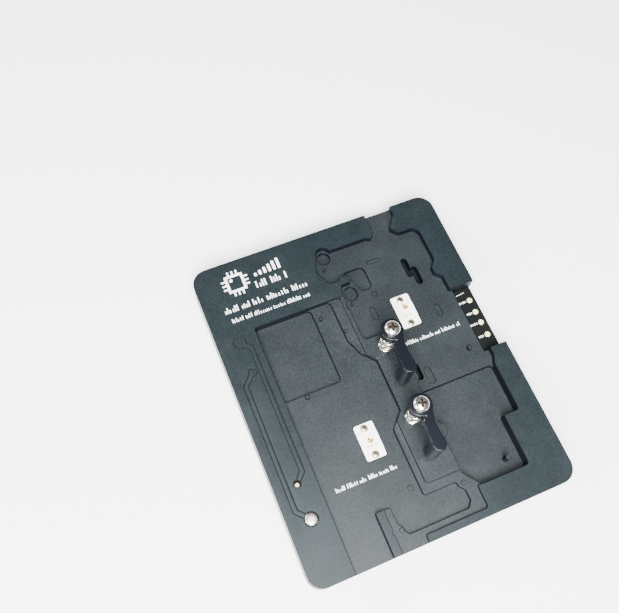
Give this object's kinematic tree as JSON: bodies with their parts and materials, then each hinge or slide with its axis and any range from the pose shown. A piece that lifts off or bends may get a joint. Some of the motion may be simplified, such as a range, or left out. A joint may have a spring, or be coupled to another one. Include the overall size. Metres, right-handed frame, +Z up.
{
  "type": "usb microcontroller programmer",
  "caption": "Flat bench programmer: dark milled fixture plate with stepped pockets, spring-pin probe blocks, swing clamps and a push button over a circuit board",
  "frame": {"origin": "centre of the plate's outline on the surface that the rubber feet stand on", "axes": "+X to the right across the plate, +Y to the rear along its long side, +Z up out of the pockets"},
  "size_m": [0.12, 0.1456, 0.0376],
  "materials": {
    "anodised_plate": "dark blue-grey anodised, satin",
    "cover_plastic": "black, fine grain",
    "board_black": "black solder mask over glass-fibre laminate",
    "foot_rubber": "matt",
    "nickel": "bright nickel",
    "screw_steel": "zinc plated",
    "gold": "gold plated",
    "white_plastic": "white, satin",
    "black_plastic": "black, glossy",
    "chip_epoxy": "moulded epoxy",
    "led_lens": "warm white, diffuse"
  },
  "bodies": {
    "base": {"top_plate": "anodised_plate", "bottom_cover": "cover_plastic", "circuit_board": "board_black", "rubber_foot_1": "foot_rubber", "rubber_foot_2": "foot_rubber", "rubber_foot_3": "foot_rubber", "rubber_foot_4": "foot_rubber", "usb_socket_shell": "nickel", "usb_socket_tongue": "black_plastic", "switch_body": "chip_epoxy", "microcontroller": "chip_epoxy", "memory_chip": "chip_epoxy", "voltage_regulator": "chip_epoxy", "crystal": "chip_epoxy", "inductor": "chip_epoxy", "capacitor_input": "chip_epoxy", "capacitor_output": "chip_epoxy", "status_led": "led_lens", "test_pad_1": "gold", "test_pad_2": "gold", "test_pad_3": "gold", "test_pad_4": "gold", "cover_screw_1": "screw_steel", "cover_screw_2": "screw_steel", "cover_screw_3": "screw_steel", "cover_screw_4": "screw_steel", "cover_screw_5": "screw_steel", "cover_screw_6": "screw_steel", "left_probe_block": "white_plastic", "left_probe_barrel": "gold", "left_fine_pin_1": "gold", "left_fine_pin_2": "gold", "left_fine_pin_3": "gold", "left_probe_screw_1": "nickel", "left_probe_screw_2": "nickel", "right_probe_block": "white_plastic", "right_probe_barrel": "gold", "right_fine_pin_1": "gold", "right_fine_pin_2": "gold", "right_fine_pin_3": "gold", "right_probe_screw_1": "nickel", "right_probe_screw_2": "nickel"},
    "upper_clamp_carrier": {"upper_clamp_spring": "nickel"},
    "upper_clamp_arm": {"upper_clamp_lever": "black_plastic"},
    "upper_clamp_bolt": {"upper_clamp_screw": "nickel"},
    "lower_clamp_carrier": {"lower_clamp_spring": "nickel"},
    "lower_clamp_arm": {"lower_clamp_lever": "black_plastic"},
    "lower_clamp_bolt": {"lower_clamp_screw": "nickel"},
    "button": {"button_cap": "nickel", "switch_plunger": "black_plastic"},
    "left_plunger": {"left_probe_plunger": "gold"},
    "right_plunger": {"right_probe_plunger": "gold"}
  },
  "joints": [
    {"name": "upper_clamp_press", "type": "slide", "parent": "base", "child": "upper_clamp_carrier", "axis": [0, 0, -1], "range_m": [0, 0.0024], "deforming": ["upper_clamp_spring"]},
    {"name": "upper_clamp_swivel", "type": "hinge", "parent": "upper_clamp_carrier", "child": "upper_clamp_arm", "pos_m": [0.009, 0.0096, 0.0309], "axis": [0, 0, 1], "range_deg": [-120, 120]},
    {"name": "upper_clamp_turn", "type": "hinge", "parent": "upper_clamp_carrier", "child": "upper_clamp_bolt", "pos_m": [0.009, 0.0096, 0.0309], "axis": [0, 0, 1], "range_deg": [-1080, 0]},
    {"name": "lower_clamp_press", "type": "slide", "parent": "base", "child": "lower_clamp_carrier", "axis": [0, 0, -1], "range_m": [0, 0.0024], "deforming": ["lower_clamp_spring"]},
    {"name": "lower_clamp_swivel", "type": "hinge", "parent": "lower_clamp_carrier", "child": "lower_clamp_arm", "pos_m": [0.0061, -0.024, 0.0309], "axis": [0, 0, 1], "range_deg": [-120, 120]},
    {"name": "lower_clamp_turn", "type": "hinge", "parent": "lower_clamp_carrier", "child": "lower_clamp_bolt", "pos_m": [0.0061, -0.024, 0.0309], "axis": [0, 0, 1], "range_deg": [-1080, 0]},
    {"name": "button_press", "type": "slide", "parent": "base", "child": "button", "axis": [0, 0, -1], "range_m": [0, 0.0005], "stiffness_N_per_m": 300, "springref_m": -0.001},
    {"name": "left_plunger_press", "type": "slide", "parent": "base", "child": "left_plunger", "axis": [0, 0, -1], "range_m": [0, 0.0006], "stiffness_N_per_m": 200, "springref_m": -0.0005},
    {"name": "right_plunger_press", "type": "slide", "parent": "base", "child": "right_plunger", "axis": [0, 0, -1], "range_m": [0, 0.0006], "stiffness_N_per_m": 200, "springref_m": -0.0005}
  ],
  "couplings": [
    {"joint": "upper_clamp_turn", "follows": "upper_clamp_press", "rad_per_m": -7854},
    {"joint": "lower_clamp_turn", "follows": "lower_clamp_press", "rad_per_m": -7854}
  ]
}
